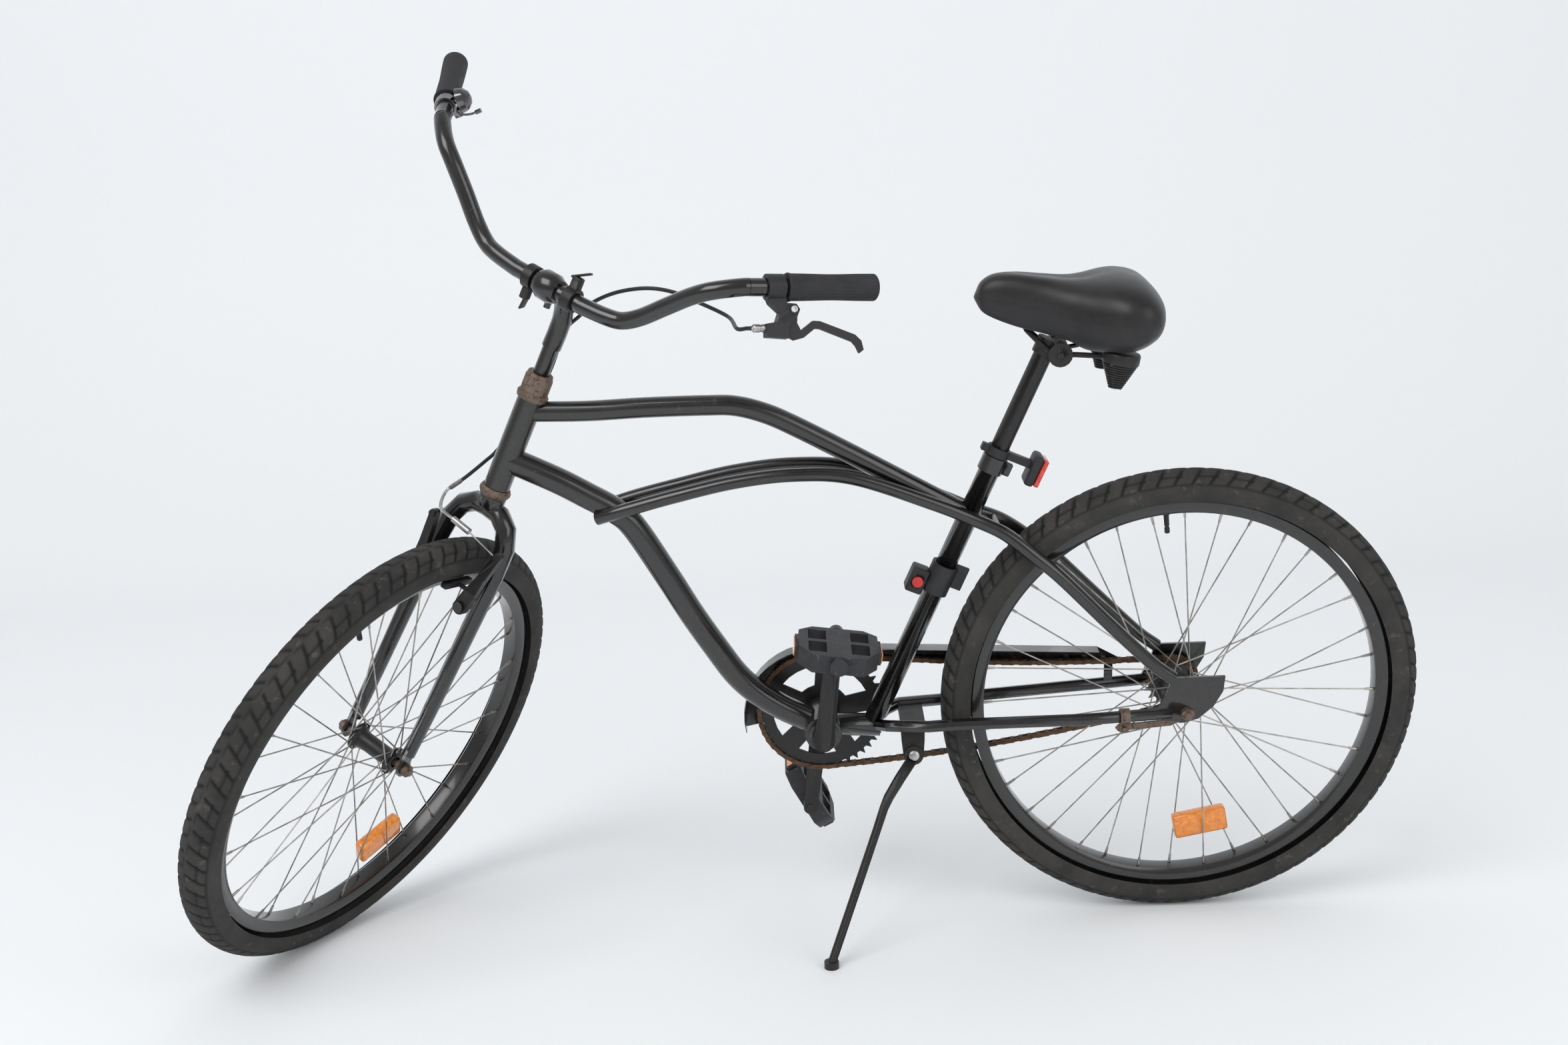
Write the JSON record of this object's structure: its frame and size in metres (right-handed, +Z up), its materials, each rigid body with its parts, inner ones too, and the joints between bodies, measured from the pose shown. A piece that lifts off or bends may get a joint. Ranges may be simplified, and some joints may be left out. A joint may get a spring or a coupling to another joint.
{
  "type": "bicycle",
  "caption": "Cruiser bicycle with a curved frame, swept handlebar, front rim brake, rear coaster brake, chain guard and kickstand, standing with its steering turned left",
  "frame": {"origin": "on the floor under the centre of the bicycle's bounding box, standing on both tyres and the kickstand, leaning 9 degrees to its left", "axes": "+X to the rear of the bicycle, -Y to its left side, where the kickstand is, +Z up"},
  "size_m": [1.6557, 0.5971, 1.2335],
  "materials": {
    "black_paint": "gloss enamel with road dust",
    "satin_black": "satin black coating",
    "tyre_rubber": "matt, dusty",
    "grip_rubber": "matt",
    "pedal_plastic": "moulded, matt",
    "spoke_steel": "bright spokes on a dark hub shell",
    "rusty_steel": "plated steel with rust",
    "chain_steel": "oily, rusty",
    "bright_metal": "satin",
    "bell_metal": "dark, glossy",
    "amber_reflector": "clear moulded prism",
    "red_lens": "clear moulded",
    "red_button": "moulded",
    "black_plastic": "moulded, satin",
    "saddle_vinyl": "satin vinyl cover"
  },
  "bodies": {
    "frame": {"head_tube": "black_paint", "top_tube": "black_paint", "down_tube": "black_paint", "seat_tube": "black_paint", "bottom_bracket": "black_paint", "upper_stay_left": "black_paint", "upper_stay_right": "black_paint", "chain_stay_left": "black_paint", "chain_stay_right": "black_paint", "stay_bridge": "black_paint", "headset_lower": "rusty_steel", "headset_upper": "rusty_steel", "kickstand_bracket": "satin_black", "chain_guard": "black_paint", "coaster_arm": "rusty_steel", "rear_axle": "rusty_steel", "chain": "chain_steel", "lock_bracket": "black_plastic"},
    "fork": {"fork": "black_paint", "headset_locknut": "rusty_steel", "stem": "black_paint", "handlebar": "black_paint", "grip_left": "grip_rubber", "grip_right": "grip_rubber", "accessory_clamp_left": "satin_black", "accessory_clamp_right": "satin_black", "brake_lever_bracket": "black_plastic", "bell": "bell_metal", "brake_cable": "black_plastic", "brake_noodle": "bright_metal", "front_axle": "rusty_steel"},
    "front_wheel": {"front_tyre": "tyre_rubber", "front_rim": "black_paint", "front_hub": "spoke_steel", "front_reflector": "amber_reflector"},
    "rear_wheel": {"rear_tyre": "tyre_rubber", "rear_rim": "black_paint", "rear_hub": "spoke_steel", "rear_reflector": "amber_reflector"},
    "sprocket": {"rear_sprocket": "rusty_steel"},
    "crank": {"chainring": "satin_black", "crank_left": "satin_black", "crank_right": "satin_black"},
    "pedal_left": {"pedal_left": "pedal_plastic"},
    "pedal_right": {"pedal_right": "pedal_plastic"},
    "kickstand": {"kickstand": "satin_black"},
    "seat_post": {"seat_post": "satin_black", "tail_light": "black_plastic", "tail_light_lens": "red_lens"},
    "saddle": {"saddle_rails": "satin_black", "saddle": "saddle_vinyl", "saddle_spring_left": "satin_black", "saddle_spring_right": "satin_black"},
    "brake_lever": {"brake_lever": "black_plastic"},
    "bell_lever": {"bell_lever": "bell_metal"},
    "lock_button": {"lock_button": "red_button"},
    "brake_arm_left": {"brake_arm_left": "satin_black"},
    "brake_arm_right": {"brake_arm_right": "satin_black"}
  },
  "joints": [
    {"name": "steering", "type": "hinge", "parent": "frame", "child": "fork", "pos_m": [-0.5791, 0.036, 0.32627], "axis": [0.4226, -0.1418, 0.8951], "range_deg": [-115, 10], "deforming": ["brake_cable"]},
    {"name": "front_wheel_spin", "type": "hinge", "parent": "fork", "child": "front_wheel", "pos_m": [-0.61435, -0.00004, 0.29914], "axis": [-0.7849, 0.4366, 0.4397], "continuous": true},
    {"name": "rear_wheel_spin", "type": "hinge", "parent": "frame", "child": "rear_wheel", "pos_m": [0.4979, 0.036, 0.32627], "axis": [0, 0.9877, 0.1564], "continuous": true},
    {"name": "crank_spin", "type": "hinge", "parent": "frame", "child": "crank", "pos_m": [0.0029, 0.04022, 0.2996], "axis": [0, 0.9877, 0.1564], "range_deg": [-178, 88]},
    {"name": "sprocket_spin", "type": "hinge", "parent": "frame", "child": "sprocket", "pos_m": [0.4979, 0.036, 0.32627], "axis": [0, 0.9877, 0.1564], "continuous": true},
    {"name": "pedal_spin_left", "type": "hinge", "parent": "crank", "child": "pedal_left", "pos_m": [0.02333, -0.05421, 0.44838], "axis": [0, 0.9877, 0.1564], "continuous": true},
    {"name": "pedal_spin_right", "type": "hinge", "parent": "crank", "child": "pedal_right", "pos_m": [-0.01753, 0.13466, 0.15083], "axis": [0, 0.9877, 0.1564], "continuous": true},
    {"name": "kickstand_fold", "type": "hinge", "parent": "frame", "child": "kickstand", "pos_m": [0.1269, 0.00752, 0.26], "axis": [0, -0.98, 0.1991], "range_deg": [0, 117]},
    {"name": "seat_post_slide", "type": "slide", "parent": "frame", "child": "seat_post", "axis": [0.4051, -0.143, 0.903], "range_m": [0, 0.06]},
    {"name": "saddle_tilt", "type": "hinge", "parent": "seat_post", "child": "saddle", "pos_m": [0.32193, -0.0419, 0.81808], "axis": [0, 0.9877, 0.1564], "range_deg": [-8, 8]},
    {"name": "brake_lever_squeeze", "type": "hinge", "parent": "fork", "child": "brake_lever", "pos_m": [-0.0221, -0.2077, 0.89395], "axis": [0.3448, -0.9245, 0.1625], "range_deg": [0, 26], "stiffness_Nm_per_rad": 0.8, "springref_deg": -22.92, "deforming": ["brake_noodle"]},
    {"name": "brake_arm_close_left", "type": "hinge", "parent": "fork", "child": "brake_arm_left", "pos_m": [-0.47277, -0.05394, 0.50759], "axis": [-0.4532, -0.8884, 0.0732], "range_deg": [0, 4]},
    {"name": "brake_arm_close_right", "type": "hinge", "parent": "fork", "child": "brake_arm_right", "pos_m": [-0.54027, -0.0164, 0.54541], "axis": [0.4532, 0.8884, -0.0732], "range_deg": [0, 4]},
    {"name": "bell_lever_push", "type": "hinge", "parent": "fork", "child": "bell_lever", "pos_m": [-0.44644, 0.03337, 1.14726], "axis": [-0.0229, 0.875, 0.4837], "range_deg": [0, 30], "stiffness_Nm_per_rad": 0.02, "springref_deg": -22.92},
    {"name": "lock_button_press", "type": "slide", "parent": "frame", "child": "lock_button", "axis": [0, 0.9877, 0.1564], "range_m": [0, 0.0025], "stiffness_N_per_m": 300, "springref_m": -0.002}
  ],
  "couplings": [
    {"joint": "sprocket_spin", "follows": "crank_spin", "ratio": 2.4444},
    {"joint": "brake_arm_close_left", "follows": "brake_lever_squeeze", "ratio": 0.146},
    {"joint": "brake_arm_close_right", "follows": "brake_lever_squeeze", "ratio": 0.146}
  ]
}
